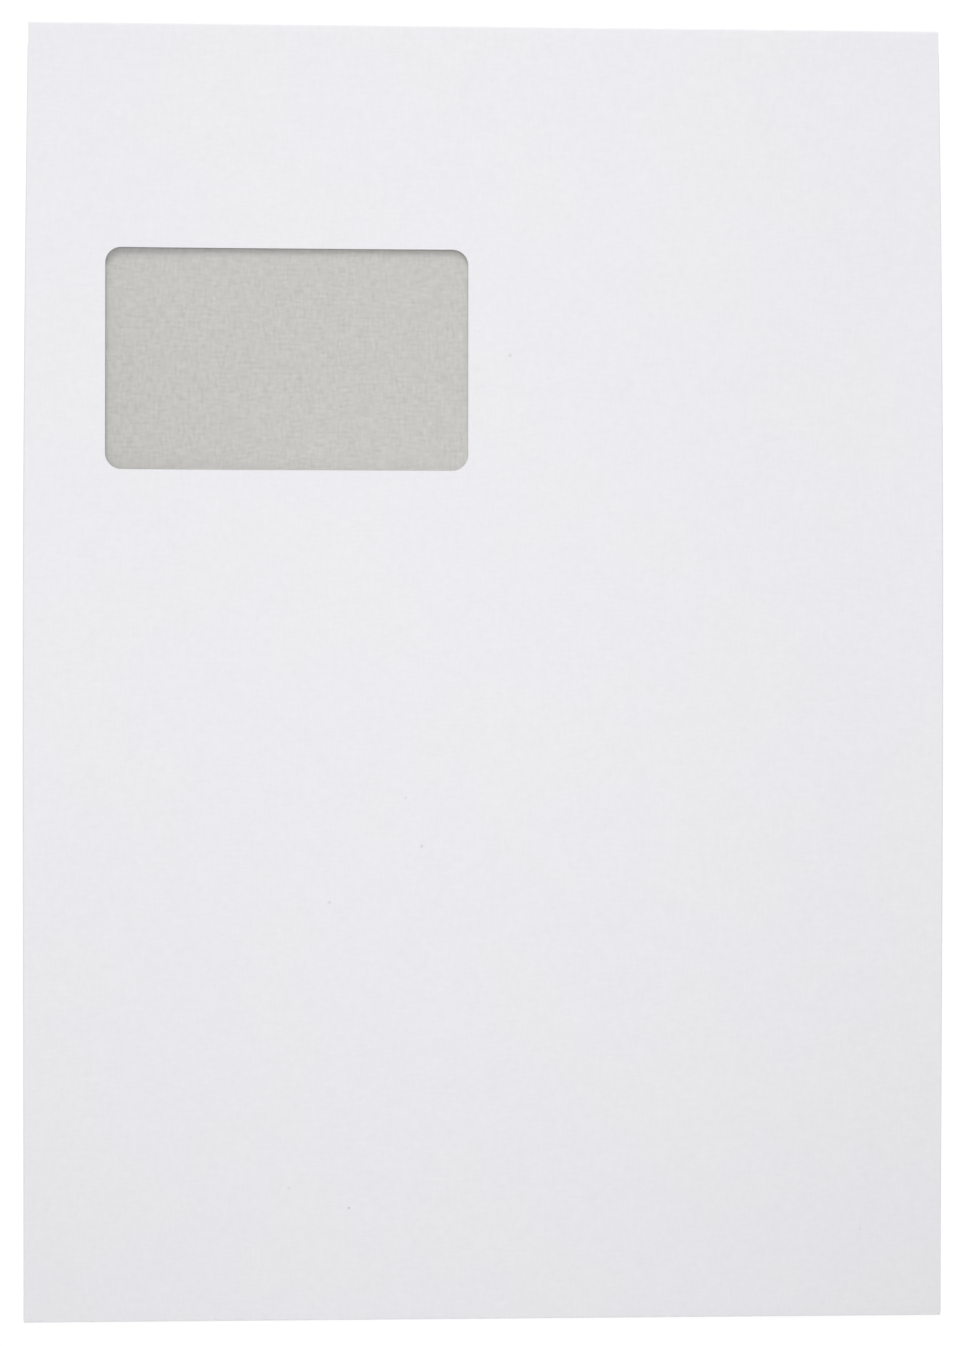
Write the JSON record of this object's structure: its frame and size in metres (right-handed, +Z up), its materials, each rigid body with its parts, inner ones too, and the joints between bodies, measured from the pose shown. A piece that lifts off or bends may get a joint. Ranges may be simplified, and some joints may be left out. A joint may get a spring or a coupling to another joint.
{
  "type": "gusseted window envelope",
  "caption": "Large flat paper envelope with tucked side gussets, an address window with clear film, a lapped back seam, and a closing flap with a covered adhesive band.",
  "frame": {"origin": "middle of the footprint, on the surface that the envelope lies on", "axes": "+X to the right across the front, +Y up the envelope towards the closing flap, +Z up, out of the front panel"},
  "size_m": [0.229, 0.324, 0.0045],
  "materials": {
    "white_paper": "matt, fine fibre mottle, grey tint on the inner face",
    "clear_film": "clear, glossy",
    "hot_melt": "tacky, satin",
    "silicone_paper": "smooth, slightly glossy"
  },
  "bodies": {
    "root": {"envelope_sheet": "white_paper", "window_film": "clear_film", "flap_adhesive": "hot_melt", "release_strip": "silicone_paper"}
  },
  "joints": []
}
